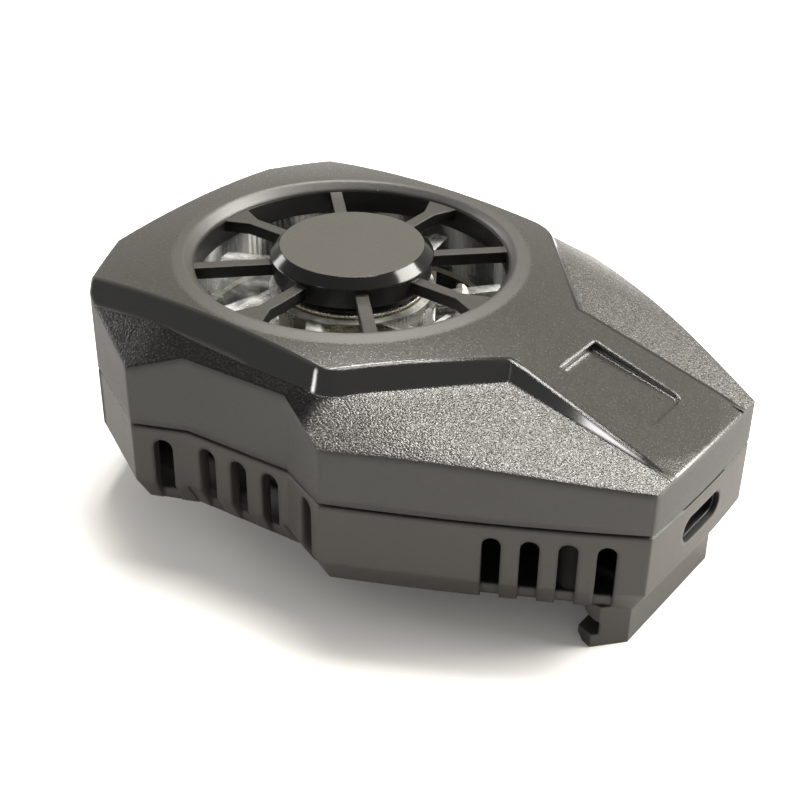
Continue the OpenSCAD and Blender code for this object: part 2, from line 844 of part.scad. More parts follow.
module usb_shell() {
    color(steel) along_x(usb_back, usb_front, usb_z) difference() {
        stadium(usb_w, usb_h);
        stadium(usb_w - 2 * usb_t, usb_h - 2 * usb_t);
    }
}

module usb_tongue() {
    color(gloss_black) {
        along_x(usb_back, usb_back + 1.2, usb_z)
            stadium(usb_w - 2 * usb_t, usb_h - 2 * usb_t);
        translate([usb_back + 1, -3.35, usb_z - 0.35]) cube([usb_l - 1.8, 6.7, 0.7]);
    }
}

module driver_chip() {
    color(gloss_black) translate([board_x0 + 9, -2, board_z + board_t]) cube([4, 4, 1]);
}

module inductor() {
    color("dimgray") translate([board_x0 + 4, 0, board_z + board_t]) difference() {
        translate([-2.5, -2.5, 0]) cube([5, 5, 2.2]);
        translate([0, 0, 1.9]) cylinder(r = 1.6, h = 1);
    }
}

module capacitors() {
    color("tan") for (i = [0:2])
        translate([board_x0 + 9 + 2.2 * i, 3, board_z + board_t]) cube([1.2, 2, 0.8]);
}

module shell_screws() {
    color(steel) for (p = boss_at, s = [1, -1]) translate([p.x, s * p.y, 0]) {
        translate([0, 0, screw_pocket - e])
            cylinder(r = screw_r, h = screw_top - screw_pocket + e, $fn = 48);
        translate([0, 0, screw_pocket]) mirror([0, 0, 1]) pan_head(screw_head_r, screw_head_h);
    }
}

module motor_board() {
    color(board_green) translate([0, 0, hub_floor - motor_board_t]) difference() {
        cylinder(r = motor_board_r, h = motor_board_t);
        translate([0, 0, -motor_board_t]) cylinder(r = bush_r + slip, h = 3 * motor_board_t);
        for (i = [0:1]) rotate(45 + 180 * i) translate([motor_screw_at, 0, -motor_board_t])
            cylinder(r = motor_screw_r + slip, h = 3 * motor_board_t, $fn = 48);
    }
}

// Laminated stator: a hub, straight poles and curved pole shoes
module stator_core() {
    shoe = stator_r - 0.9;
    color("slategray") translate([0, 0, stator_z]) linear_extrude(stator_h) difference() {
        union() {
            circle(r = 3.9);
            for (i = [0:poles - 1]) rotate(i * 360 / poles) {
                translate([0, -1.2]) square([stator_r - 0.5, 2.4]);
                intersection() {
                    difference() {
                        circle(r = stator_r);
                        circle(r = shoe);
                    }
                    polygon([[0, 0], [12, -12 * tan(130 / poles)], [12, 12 * tan(130 / poles)]]);
                }
            }
        }
        circle(r = bush_r + slip);
    }
}

// Windings around the straight part of each pole
module coils() {
    half = 1.5 + coil_over;
    far = sqrt(pow(stator_r - 1, 2) - half * half);
    color("peru") for (i = [0:poles - 1]) rotate(i * 360 / poles)
        translate([4.2, 0, stator_z + stator_h / 2]) rotate([90, 0, 90]) linear_extrude(far - 4.2)
            difference() {
                square([2 * half, stator_h + 2 * coil_over], center = true);
                square([2.4 + 2 * slip, stator_h + 2 * slip], center = true);
            }
}

module bearing_bush() {
    color("goldenrod") translate([0, 0, bush_z]) difference() {
        cylinder(r = bush_r, h = hub_floor - bush_z);
        translate([0, 0, -1]) cylinder(r = shaft_r + shaft_gap, h = 10);
    }
}

module motor_screws() {
    color(steel) for (i = [0:1]) rotate(45 + 180 * i)
        translate([motor_screw_at, 0, hub_floor - motor_board_t]) {
            translate([0, 0, -e])
                cylinder(r = motor_screw_r, h = motor_board_t + motor_screw_grip, $fn = 48);
            mirror([0, 0, 1]) pan_head(motor_screw_r + 0.3, motor_head_h);
        }
}

module rotor_cup() {
    color(steel) translate([0, 0, cup_z]) difference() {
        cylinder(r = cup_r, h = cup_h);
        translate([0, 0, cup_floor]) cylinder(r = cup_r - cup_t, h = 10);
        translate([0, 0, -1]) cylinder(r = shaft_r, h = 4);
    }
}

module magnet_ring() {
    r = cup_r - cup_t;
    color("darkslategray") translate([0, 0, cup_z + 1.8]) difference() {
        cylinder(r = r, h = cup_h - 2);
        translate([0, 0, -1]) cylinder(r = r - magnet_t, h = 10);
    }
}

module shaft() {
    color(steel) translate([0, 0, cup_z]) cylinder(r = shaft_r, h = hub_floor - 0.2 - cup_z);
}

module shaft_washer() {
    color("ivory") translate([0, 0, bush_z - 0.6]) difference() {
        cylinder(r = bush_r, h = 0.4);
        translate([0, 0, -1]) cylinder(r = shaft_r, h = 3);
    }
}

// Clear impeller: a hub ring around the cup and cambered blades cut from cylindrical shells
module impeller() {
    color(clear_tint) {
        translate([0, 0, impeller_z]) difference() {
            cylinder(r = cup_r + hub_wall, h = impeller_h);
            translate([0, 0, cup_z - impeller_z]) cylinder(r = cup_r, h = 20);
            translate([0, 0, -1]) cylinder(r = shaft_r + 2, h = 4);
        }
        intersection() {
            translate([0, 0, impeller_z + 0.3]) difference() {
                cylinder(r = blade_r, h = impeller_h - 0.5);
                translate([0, 0, -1]) cylinder(r = cup_r + hub_wall / 2, h = 20);
            }
            for (i = [0:blades - 1]) rotate(i * 360 / blades) blade();
        }
    }
}

// One blade: a slice of a tube whose axis points outward along the blade
module blade() {
    tube_r = 11;
    translate([0, -9.5, impeller_z - 2.4]) rotate([0, 90, 0]) difference() {
        cylinder(r = tube_r, h = 30);
        translate([0, 0, -1]) cylinder(r = tube_r - blade_t, h = 32);
        translate([-20, -30, -1]) cube([40, 31, 40]);
        translate([0, -1, -1]) cube([40, 40, 40]);
    }
}

module jaw_plan() {
    polygon([[jaw_x, -jaw_half], [jaw_x, jaw_half], [cheek_x, cheek_half],
        [lip_x, cheek_half - 0.8], [lip_x, -cheek_half + 0.8], [cheek_x, -cheek_half]]);
}

// Sliding jaw: lip, upright plate with flared cheeks, corner ribs and the tongue in the floor
module clamp_jaw() {
    color(shell_grey) difference() {
        union() {
            translate([0, 0, lip_z0]) linear_extrude(lip_t) jaw_plan();
            intersection() {
                translate([0, 0, lip_z0]) linear_extrude(jaw_top - lip_z0) jaw_plan();
                translate([jaw_in, -20, -20]) cube([20, 40, 40]);
            }
            for (s = [1, -1]) intersection() {
                translate([jaw_in + e, s * rib_y - rib_w / 2, jaw_top - rib_r])
                    translate([-rib_r, 0, 0]) cube([rib_r, rib_w, rib_r]);
                translate([jaw_in, s * rib_y - 3, jaw_top])
                    rotate([-90, 0, 0]) cylinder(r = rib_r, h = 6);
            }
            translate([tongue_x, -tongue_half, tongue_z])
                cube([jaw_x - tongue_x, 2 * tongue_half, tongue_t]);
            translate([tongue_x, -web_half, slide_gap])
                cube([jaw_x - tongue_x, 2 * web_half, tongue_z + e - slide_gap]);
            translate([jaw_in, -web_half, jaw_top - e])
                cube([jaw_t, 2 * web_half, slide_gap - jaw_top + 2 * e]);
            for (s = [1, -1])
                translate([pin_x, s * spring_y, tongue_z])
                    cylinder(r = pin_r, h = pin_top - tongue_z, $fn = 48);
        }
        jaw_pad_space();
        translate([lip_x, -20, lip_z0]) rotate([0, 45, 0]) cube([1.2, 40, 1.2], center = true);
    }
}

// Pocket in the lip and up the inner face that the rubber pad sits in
module jaw_pad_space() {
    translate([lip_x + 0.5, -cheek_half + 3, -throat - pad_t])
        cube([lip_reach - 0.5 + pad_t, 2 * cheek_half - 6, pad_t + e]);
    translate([jaw_in - e, -cheek_half + 3, -throat - pad_t])
        cube([pad_t + e, 2 * cheek_half - 6, throat - 0.6]);
}

module jaw_pad() {
    w = 2 * (cheek_half - 3 - slip);
    color(rubber) {
        translate([lip_x + 0.5 + slip, -w / 2, -throat - pad_t])
            cube([lip_reach - 0.5 + pad_t - slip, w, pad_t]);
        translate([jaw_in, -w / 2, -throat - e]) cube([pad_t, w, throat - 1.4]);
        for (i = [0:10])
            translate([lip_x + 0.8, -w / 2 + 1 + i * (w - 2.6) / 10, -throat - e])
                cube([lip_reach - 0.9, 0.6, pad_rib + e]);
    }
}

// Round-wire coil along x from x0 to x1, one unbroken tube with closed ends
function coil_point(t, x0, x1, y) = [x0 + (x1 - x0) * t, y + coil_r * sin(360 * spring_turns * t),
    spring_z + coil_r * cos(360 * spring_turns * t)];

module spring(x0, x1, y) {
    steps = spring_turns * 8;
    sides = 6;
    slope = atan2(x1 - x0, 2 * PI * coil_r * spring_turns);
    ring = [for (i = [0:steps]) let (t = i / steps, a = 360 * spring_turns * t, c = coil_point(t, x0, x1, y))
        for (k = [0:sides - 1]) let (b = 360 * k / sides)
            c + wire_r * cos(b) * [0, sin(a), cos(a)]
              + wire_r * sin(b) * [cos(slope), -sin(slope) * cos(a), sin(slope) * sin(a)]];
    skin = [for (i = [0:steps - 1]) for (k = [0:sides - 1])
        let (p = i * sides + k, q = i * sides + (k + 1) % sides)
        each [[p, q, q + sides], [p, q + sides, p + sides]]];
    ends = [for (k = [1:sides - 2]) each [[0, k + 1, k],
        [steps * sides, steps * sides + k, steps * sides + k + 1]]];
    polyhedron(concat([for (v = ring) v], []), concat(skin, ends), convexity = 10);
}

spring_x0 = post_x + pin_r + wire_r + 0.1;
spring_x1 = pin_x - pin_r - wire_r - 0.1;
spring_gap = let (n = 8, pitch = 1 / spring_turns)
    min([for (i = [0:n]) for (d = [-2:2])
        norm(coil_point(i / n * pitch, spring_x0, spring_x1, 0)
            - coil_point(pitch + (i + d / 2) / n * pitch, spring_x0, spring_x1, 0))]) - 2 * wire_r;
echo(spring_least_self_gap_mm = spring_gap);

module return_springs() {
    color(steel) for (s = [1, -1]) spring(spring_x0, spring_x1, s * spring_y);
}

// Fixed hook at the rear that faces the jaw
module rear_hook() {
    color(shell_grey) difference() {
        union() {
            translate([hook_out, -hook_half, lip_z0])
                cube([hook_x - hook_out, 2 * hook_half, -lip_z0]);
            translate([hook_x - e, -hook_half, lip_z0])
                cube([lip_reach + e, 2 * hook_half, lip_t]);
        }
        translate([hook_out, 0, lip_z0]) rotate([0, 45, 0])
            cube([hook_bevel, 3 * hook_half, hook_bevel], center = true);
        translate([hook_x - pad_t, -hook_half + hook_rim, -throat - pad_t])
            cube([lip_reach + pad_t - 0.5, 2 * (hook_half - hook_rim), pad_t + e]);
        translate([hook_x - pad_t, -hook_half + hook_rim, -throat - pad_t])
            cube([pad_t + e, 2 * (hook_half - hook_rim), throat - 0.6]);
        for (s = [1, -1]) translate([hook_screw_x, s * hook_screw_y, -hook_screw_l - 0.2])
            cylinder(r = screw_r + slip, h = 2 * hook_screw_l);
    }
}

module hook_pad() {
    w = 2 * (hook_half - 2 - slip);
    color(rubber) {
        translate([hook_x - pad_t, -w / 2, -throat - pad_t])
            cube([lip_reach + pad_t - 0.5 - slip, w, pad_t]);
        translate([hook_x - pad_t, -w / 2, -throat - e]) cube([pad_t, w, throat - 1.4]);
        for (i = [0:10])
            translate([hook_x + 0.1, -w / 2 + 0.8 + i * (w - 2.2) / 10, -throat - e])
                cube([lip_reach - 0.9, 0.6, pad_rib + e]);
    }
}

module hook_screws() {
    color(steel) for (s = [1, -1]) translate([hook_screw_x, s * hook_screw_y, 0]) {
        translate([0, 0, -hook_screw_l]) cylinder(r = screw_r, h = hook_screw_l + floor_t + e, $fn = 48);
        translate([0, 0, floor_t]) pan_head(screw_head_r, hook_head_h);
    }
}

top_shell();
grille();
hub_cap();
lower_shell();
light_ring();
led_board();
leds();
contact_plate();
insulator();
thermo_tile();
heat_sink();
sink_screws();
main_board();
usb_shell();
usb_tongue();
driver_chip();
inductor();
capacitors();
shell_screws();
motor_board();
stator_core();
coils();
bearing_bush();
motor_screws();
rotor_cup();
magnet_ring();
shaft();
shaft_washer();
impeller();
clamp_jaw();
jaw_pad();
return_springs();
rear_hook();
hook_pad();
hook_screws();
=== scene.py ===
import math

import bmesh
import bpy
from mathutils import Matrix, Vector


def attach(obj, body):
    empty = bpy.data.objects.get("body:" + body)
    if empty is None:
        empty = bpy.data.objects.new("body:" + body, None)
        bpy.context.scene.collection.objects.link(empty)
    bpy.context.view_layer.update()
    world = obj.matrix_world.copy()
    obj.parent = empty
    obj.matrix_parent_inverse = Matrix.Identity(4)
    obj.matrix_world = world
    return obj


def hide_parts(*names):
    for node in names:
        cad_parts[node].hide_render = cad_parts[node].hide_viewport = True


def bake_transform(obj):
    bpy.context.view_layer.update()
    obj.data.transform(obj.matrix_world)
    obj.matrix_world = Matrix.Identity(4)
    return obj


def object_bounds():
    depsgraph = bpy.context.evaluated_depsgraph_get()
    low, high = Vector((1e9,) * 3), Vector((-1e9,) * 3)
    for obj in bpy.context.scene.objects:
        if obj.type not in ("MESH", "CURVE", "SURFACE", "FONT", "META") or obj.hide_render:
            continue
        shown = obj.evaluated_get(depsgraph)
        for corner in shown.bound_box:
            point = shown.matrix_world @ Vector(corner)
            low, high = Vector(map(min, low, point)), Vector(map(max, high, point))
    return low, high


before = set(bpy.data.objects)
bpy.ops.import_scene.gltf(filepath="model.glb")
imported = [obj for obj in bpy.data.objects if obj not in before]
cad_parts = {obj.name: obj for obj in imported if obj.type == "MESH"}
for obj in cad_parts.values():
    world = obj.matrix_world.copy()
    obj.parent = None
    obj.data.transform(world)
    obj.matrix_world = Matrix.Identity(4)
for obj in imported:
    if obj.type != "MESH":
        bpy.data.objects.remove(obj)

cad_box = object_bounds()

# The view: a close hand-held picture from the near right, looking down on the narrow end.
# The lens and the place come from the cooler's own corners, the fan opening and the hub.
camera_data = bpy.data.cameras.new("view")
camera_data.sensor_width = 36.0
camera_data.lens = 66.10
camera_data.shift_x = -0.00545
camera_data.shift_y = 0.00032
camera_data.clip_start = 0.01
camera_data.clip_end = 20.0
camera = bpy.data.objects.new("view", camera_data)
bpy.context.collection.objects.link(camera)
camera.matrix_world = Matrix((
    (0.80053933, -0.33174595, 0.49908056, 0.10960908),
    (0.59910695, 0.42300469, -0.67980725, -0.13698002),
    (0.01440988, 0.84321507, 0.53738320, 0.11533482),
    (0.0, 0.0, 0.0, 1.0)))
bpy.context.scene.camera = camera
bpy.context.scene.view_settings.view_transform = "Standard"


# The table: a plain pale sheet that the cooler stands on, on the jaw's lip and the hook's lip.
# It is matt, a touch warm, keeps the soft shadow under the body and goes to plain white farther off,
# and it throws back less light on the body than it shows.
class Wire:
    """One output of a material's nodes. Sums and products of wires add Math nodes to the same material."""

    def __init__(self, tree, socket=None):
        self.tree = tree
        self.socket = socket

    def node(self, kind, settings=None, inputs=None, out=0):
        """A new node of any kind, with its settings and inputs, as the wire of one of its outputs."""
        made = self.tree.nodes.new("ShaderNode" + kind)
        for name, value in (settings or {}).items():
            setattr(made, name, value)
        for name, value in (inputs or {}).items():
            if isinstance(value, Wire):
                self.tree.links.new(value.socket, made.inputs[name])
            else:
                made.inputs[name].default_value = value
        return Wire(self.tree, made.outputs[out] if len(made.outputs) else None)

    def other(self, out):
        """Another output of the same node."""
        return Wire(self.tree, self.socket.node.outputs[out])

    def maths(self, operation, a, b=0.0):
        return self.node("Math", {"operation": operation}, {0: a, 1: b})

    def __add__(self, b):
        return self.maths("ADD", self, b)

    def __radd__(self, a):
        return self.maths("ADD", a, self)

    def __sub__(self, b):
        return self.maths("SUBTRACT", self, b)

    def __rsub__(self, a):
        return self.maths("SUBTRACT", a, self)

    def __mul__(self, b):
        return self.maths("MULTIPLY", self, b)

    def __rmul__(self, a):
        return self.maths("MULTIPLY", a, self)

    def __truediv__(self, b):
        return self.maths("DIVIDE", self, b)

    def __rtruediv__(self, a):
        return self.maths("DIVIDE", a, self)

    def __abs__(self):
        return self.maths("ABSOLUTE", self)

    def least(self, b):
        return self.maths("MINIMUM", self, b)

    def most(self, b):
        return self.maths("MAXIMUM", self, b)

    def rise(self, low, high):
        """0 below low, 1 above high, smooth between."""
        return self.node("MapRange", {"interpolation_type": "SMOOTHSTEP"},
                         {"Value": self, "From Min": low, "From Max": high})

    def fall(self, low, high):
        """1 below low, 0 above high, smooth between."""
        return self.node("MapRange", {"interpolation_type": "SMOOTHSTEP"},
                         {"Value": self, "From Min": low, "From Max": high, "To Min": 1.0, "To Max": 0.0})

    def tint(self, a, b):
        """The colour a where this wire is 0, b where it is 1."""
        return self.node("Mix", {"data_type": "RGBA"}, {0: self, 6: a, 7: b}, out=2)

    def bend(self, a, b):
        """The normal a where this wire is 0, b where it is 1."""
        return self.node("Mix", {"data_type": "VECTOR"}, {0: self, 4: a, 5: b}, out=1)

    def grain(self, scale, detail, rough):
        """Noise between 0 and 1 over this wire's coordinates."""
        return self.node("TexNoise", {"noise_dimensions": "3D"},
                         {"Vector": self, "Scale": scale, "Detail": detail, "Roughness": rough})

    def relief(self, height, distance, under=None):
        """The normal that a height in the surface gives, on top of another relief where there is one."""
        inputs = {"Height": height, "Strength": 1.0, "Distance": distance}
        if under is not None:
            inputs["Normal"] = under
        return self.node("Bump", None, inputs)


def open_finish(name):
    """A new material with nothing in it, and the wire of its object coordinates."""
    made = bpy.data.materials.new(name)
    made.use_nodes = True
    made.node_tree.nodes.clear()
    return made, Wire(made.node_tree).node("TexCoord", out="Object")


def close_finish(place, sockets):
    """End a material in one shader with these sockets."""
    shader = place.node("BsdfPrincipled", None, sockets)
    place.node("OutputMaterial", None, {"Surface": shader})


table_half = 3.0
table_gap = 0.00002
table_z = cad_box[0].z - table_gap
table_mesh = bmesh.new()
bmesh.ops.create_grid(table_mesh, x_segments=8, y_segments=8, size=table_half)
bmesh.ops.translate(table_mesh, verts=table_mesh.verts, vec=(0.0, 0.0, table_z))
table = bpy.data.objects.new("table", bpy.data.meshes.new("table"))
table_mesh.to_mesh(table.data)
table_mesh.free()
bpy.context.collection.objects.link(table)
table_finish, place = open_finish("pale_sheet")
path = place.node("LightPath", out="Is Camera Ray")
seen = path.most(path.other("Is Glossy Ray")).most(path.other("Is Transmission Ray"))
shown = place.node("BsdfDiffuse", None, {"Color": (0.86, 0.855, 0.84, 1.0), "Roughness": 0.0})
muted = place.node("BsdfDiffuse", None, {"Color": (0.60, 0.596, 0.585, 1.0), "Roughness": 0.0})
sheet = place.node("MixShader", None, {0: path, 1: muted, 2: shown})
glow = place.node("Emission", None, {"Color": (1.0, 0.994, 0.97, 1.0), "Strength": 1.0})
spread = place.node("VectorMath", {"operation": "LENGTH"}, {0: place}, out="Value")
whiteness = seen * (0.02 + spread.rise(0.09, 0.24) * 0.96)
both = place.node("MixShader", None, {0: whiteness, 1: sheet, 2: glow})
place.node("OutputMaterial", None, {"Surface": both})
table.data.materials.append(table_finish)


# The light: a pale room with one large soft lamp behind and one overhead, one from the narrow end,
# one from the left and a small bench lamp at the near left that glints in the polished bevels.
def soft_lamp(name, place, aim, size, power, colour):
    """A rectangular lamp at a place, turned to an aim."""
    data = bpy.data.lights.new(name, "AREA")
    data.shape = "RECTANGLE"
    data.size, data.size_y = size
    data.energy = power
    data.color = colour
    lamp = bpy.data.objects.new(name, data)
    bpy.context.collection.objects.link(lamp)
    lamp.location = place
    lamp.rotation_mode = "QUATERNION"
    lamp.rotation_quaternion = (Vector(aim) - Vector(place)).to_track_quat("-Z", "Y")


soft_lamp("ceiling_panel", (0.41, 0.43, 0.43), (0.02, 0.02, 0.0), (0.36, 0.32), 9.6, (1.0, 0.965, 0.91))
soft_lamp("overhead_panel", (-0.06, 0.16, 0.64), (0.02, 0.0, 0.02), (0.26, 0.20), 6.5, (1.0, 0.97, 0.92))
soft_lamp("end_panel", (0.50, 0.30, 0.12), (0.04, 0.0, 0.01), (0.25, 0.20), 2.3, (1.0, 0.97, 0.93))
soft_lamp("left_panel", (-0.60, -0.10, 0.14), (0.0, 0.0, 0.01), (0.30, 0.25), 2.4, (1.0, 0.98, 0.95))
soft_lamp("bench_lamp", (-0.046, -0.452, 0.225), (0.045, -0.01, 0.02), (0.05, 0.06), 0.14, (1.0, 0.98, 0.95))

world = bpy.data.worlds.new("room")
bpy.context.scene.world = world
world.use_nodes = True
world.node_tree.nodes.clear()
room = Wire(world.node_tree)
way = room.node("TexCoord", out="Generated")
along = room.node("SeparateXYZ", None, {"Vector": way}, out="Y")
path = room.node("LightPath", out="Is Camera Ray")
back = along.rise(-0.35, 0.45)
shade = back.tint((0.40, 0.392, 0.38, 1.0), (0.60, 0.575, 0.52, 1.0))
colour = path.tint(shade, (1.0, 0.994, 0.972, 1.0))
lit = room.node("Background", None, {"Color": colour, "Strength": 1.0})
room.node("OutputWorld", None, {"Surface": lit})


# The lower shell: one satin moulding with the vents, the floor and the slide for the jaw in it.
# Its outer walls are smooth and warm grey; its inner side and the walls of the end slot are rougher
# and painted near black as shade, where little light gets in.
mm = 0.001

round_below = 24.0
smooth_faces = bpy.data.node_groups.new("smooth_faces", "GeometryNodeTree")
smooth_faces.interface.new_socket(name="Geometry", in_out="INPUT", socket_type="NodeSocketGeometry")
smooth_faces.interface.new_socket(name="Geometry", in_out="OUTPUT", socket_type="NodeSocketGeometry")
entry = smooth_faces.nodes.new("NodeGroupInput")
leave = smooth_faces.nodes.new("NodeGroupOutput")
fold = smooth_faces.nodes.new("GeometryNodeInputMeshEdgeAngle")
soft = smooth_faces.nodes.new("FunctionNodeCompare")
soft.operation = "LESS_THAN"
soft.inputs["B"].default_value = math.radians(round_below)
by_face = smooth_faces.nodes.new("GeometryNodeSetShadeSmooth")
by_edge = smooth_faces.nodes.new("GeometryNodeSetShadeSmooth")
by_edge.domain = "EDGE"
smooth_faces.links.new(entry.outputs[0], by_face.inputs["Geometry"])
smooth_faces.links.new(by_face.outputs[0], by_edge.inputs["Geometry"])
smooth_faces.links.new(fold.outputs["Unsigned Angle"], soft.inputs["A"])
smooth_faces.links.new(soft.outputs[0], by_edge.inputs["Shade Smooth"])
smooth_faces.links.new(by_edge.outputs[0], leave.inputs[0])


def dress(finish, *nodes):
    """Give CAD nodes a finish, and shade their round faces round."""
    for name in nodes:
        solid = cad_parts[name]
        for slot in solid.material_slots:
            slot.link = "OBJECT"
            slot.material = finish
        weld = solid.modifiers.new("weld", "WELD")
        weld.merge_threshold = 2e-6
        solid.modifiers.new("smooth", "NODES").node_group = smooth_faces
        flat = solid.modifiers.new("keep_flats", "WEIGHTED_NORMAL")
        flat.mode = "FACE_AREA"
        flat.weight = 100
        flat.keep_sharp = True


def axes(place):
    """The object coordinates in millimetres."""
    parts = place.node("SeparateXYZ", None, {"Vector": place}, out="X")
    return parts / mm, parts.other("Y") / mm, parts.other("Z") / mm


def slope(place, axis="Z"):
    """How far a face looks up, or along another axis: 1 on a level top, 0 on a wall."""
    flat = place.node("NewGeometry", out="True Normal")
    return place.node("SeparateXYZ", None, {"Vector": flat}, out=axis)


def moulded(place, radius):
    """The normal of a surface whose edges were rounded by the mould."""
    return place.node("Bevel", {"samples": 6}, {"Radius": radius})


def specks(place, scale, share):
    """A few pale specks of dust that sit on a surface."""
    cell = place.node("TexVoronoi", {"feature": "F1"}, {"Vector": place, "Scale": scale}, out="Distance")
    pick = place.node("SeparateColor", None, {"Color": cell.other("Color")}, out="Red")
    size = place.node("SeparateColor", None, {"Color": cell.other("Color")}, out="Green")
    return cell.fall(0.02, 0.035 + size * 0.035) * pick.rise(1.0 - share, 1.0 - share + 0.002)


def satin_wall(place):
    """Colour, roughness and height of the smooth outer walls."""
    broad = place.grain(70.0, 3.0, 0.6)
    fine = place.grain(2600.0, 2.0, 0.5)
    tone = broad.tint((0.0365, 0.0331, 0.0293, 1.0), (0.0426, 0.0388, 0.0342, 1.0))
    return tone, 0.45 + (fine - 0.5) * 0.12 + (broad - 0.5) * 0.10, fine * 0.25


def inside(x, y):
    """1 behind the walls' outer skin, 0 in it."""
    wall_x, wall_y, wall_at = 0.4769, 0.8790, 36.6
    front_wall = x * wall_x + y * wall_y - wall_at
    return front_wall.fall(-1.5, -1.1) * y.fall(25.6, 26.4) * x.rise(-26.6, -26.0) * x.fall(50.6, 51.2)


finish_lower, place = open_finish("lower_shell_plastic")
x, y, z = axes(place)
y = abs(y)
tone, rough, height = satin_wall(place)
# Painted shade: the inside of the shell and the walls of the end slot are coloured near black, as shade where
# little light gets in.
painted_inside_shade = inside(x, y) * z.rise(1.2, 1.7)
slot = x.rise(50.2, 50.4) * y.fall(5.2, 5.3) * slope(place, "X").fall(0.4, 0.6)
painted_inside_shade = painted_inside_shade.most(slot * z.rise(4.0, 4.2))
tone = painted_inside_shade.tint(tone, (0.006, 0.0058, 0.0055, 1.0))
tone = (specks(place, 330.0, 0.06) * (1.0 - painted_inside_shade)).tint(tone, (0.52, 0.51, 0.49, 1.0))
close_finish(place, {"Base Color": tone, "Roughness": rough + painted_inside_shade * 0.4,
                     "Normal": place.relief(height, 0.00004, moulded(place, 0.0009))})
dress(finish_lower, "lower_shell")


# The contact plate: ground aluminium, flush in the floor, with its flange on the floor's inner side.
# The long scratches of the belt run along the body.
finish_plate, place = open_finish("ground_aluminium")
drawn = place.node("Mapping", None, {"Vector": place, "Scale": (60.0, 4200.0, 1500.0)})
lines = drawn.grain(1.0, 3.0, 0.6)
smear = place.grain(90.0, 2.0, 0.5)
tone = lines.tint((0.60, 0.60, 0.605, 1.0), (0.78, 0.78, 0.775, 1.0))
close_finish(place, {"Base Color": tone, "Metallic": 1.0, "Roughness": 0.24 + lines * 0.16 + smear * 0.06,
                     "Normal": place.relief(lines, 0.00001, moulded(place, 0.0003))})
dress(finish_plate, "contact_plate")


# The foam frame: a die-cut square of closed-cell foam round the tile, pressed between plate and sink.
# All its faces show small cells.
finish_foam, place = open_finish("closed_cell_foam")
cells = place.node("TexVoronoi", {"feature": "SMOOTH_F1"}, {"Vector": place, "Scale": 2600.0}, out="Distance")
tone = cells.tint((0.020, 0.020, 0.021, 1.0), (0.055, 0.055, 0.056, 1.0))
close_finish(place, {"Base Color": tone, "Roughness": 0.92, "Normal": place.relief(cells, 0.00012)})
dress(finish_foam, "insulator")


# The thermoelectric tile: two fired ceramic plates with the cooling legs between them.
# The white faces are slightly mottled, the rim shows the dark row of legs.
finish_tile, place = open_finish("fired_ceramic")
z = axes(place)[2]
mottle = place.grain(420.0, 4.0, 0.6)
rim = z.rise(3.0, 3.1) * z.fall(4.7, 4.8) * abs(slope(place)).fall(0.4, 0.6)
legs = place.node("TexChecker", None, {"Vector": place, "Scale": 830.0}, out="Fac")
tone = mottle.tint((0.80, 0.80, 0.77, 1.0), (0.90, 0.90, 0.88, 1.0))
tone = rim.tint(tone, legs.tint((0.05, 0.05, 0.055, 1.0), (0.42, 0.36, 0.28, 1.0)))
close_finish(place, {"Base Color": tone, "Roughness": 0.5 + mottle * 0.2,
                     "Normal": place.relief(mottle, 0.00003)})
dress(finish_tile, "thermo_tile")


# The heat sink: an aluminium extrusion cut to length, thirteen fins on a base.
# Die lines run along the fins and end as fine grain on the cut ends.
finish_sink, place = open_finish("extruded_aluminium")
drawn = place.node("Mapping", None, {"Vector": place, "Scale": (2400.0, 40.0, 2400.0)})
lines = drawn.grain(1.0, 2.0, 0.6)
stain = place.grain(140.0, 3.0, 0.6)
tone = lines.tint((0.62, 0.62, 0.60, 1.0), (0.80, 0.80, 0.78, 1.0))
tone = (stain.rise(0.55, 0.8) * 0.5).tint(tone, (0.46, 0.45, 0.43, 1.0))
close_finish(place, {"Base Color": tone, "Metallic": 0.55, "Roughness": 0.30 + lines * 0.2,
                     "Normal": place.relief(lines, 0.000015, moulded(place, 0.00015))})
dress(finish_sink, "heat_sink")


# The screws: rolled and plated steel with cross recesses, four through the cooler, four up into the
# top shell, two into the hook and two in the motor.
finish_screw, place = open_finish("plated_steel")
wear = place.grain(900.0, 3.0, 0.6)
tone = wear.tint((0.36, 0.36, 0.375, 1.0), (0.58, 0.58, 0.59, 1.0))
close_finish(place, {"Base Color": tone, "Metallic": 1.0, "Roughness": 0.22 + wear * 0.2,
                     "Normal": place.relief(wear, 0.00001, moulded(place, 0.00015))})
dress(finish_screw, "sink_screws", "shell_screws", "hook_screws", "motor_screws")


# The main board, the lamp ring's board and the motor's board: dark solder mask over copper tracks
# on laminate, with small tinned pads strewn over them and pale cut edges.
def laminate(name, step):
    """A board's finish, with its tracks a given step apart."""
    finish, place = open_finish(name)
    weave = place.node("TexWave", {"wave_type": "BANDS", "bands_direction": "DIAGONAL"},
                       {"Vector": place, "Scale": 1500.0, "Distortion": 0.6, "Detail": 1.0})
    runs = place.node("TexBrick", {"offset": 0.37, "squash": 1.6},
                      {"Vector": place, "Scale": step, "Mortar Size": 0.035, "Mortar Smooth": 0.2,
                       "Color1": (0.0, 0.0, 0.0, 1.0), "Color2": (0.0, 0.0, 0.0, 1.0),
                       "Mortar": (1.0, 1.0, 1.0, 1.0)}, out="Fac")
    edge = abs(slope(place)).fall(0.3, 0.6)
    dots = place.node("TexVoronoi", {"feature": "F1"}, {"Vector": place, "Scale": 620.0}, out="Distance")
    pads = dots.fall(0.12, 0.15) * (1.0 - edge)
    tone = runs.tint((0.012, 0.030, 0.020, 1.0), (0.022, 0.060, 0.036, 1.0))
    tone = edge.tint(tone, (0.27, 0.26, 0.21, 1.0))
    tone = pads.tint(tone, (0.60, 0.59, 0.56, 1.0))
    close_finish(place, {"Base Color": tone, "Metallic": pads * 0.9,
                         "Roughness": 0.34 + weave * 0.12 + edge * 0.3 - pads * 0.08,
                         "Normal": place.relief(runs + pads, 0.00003)})
    return finish


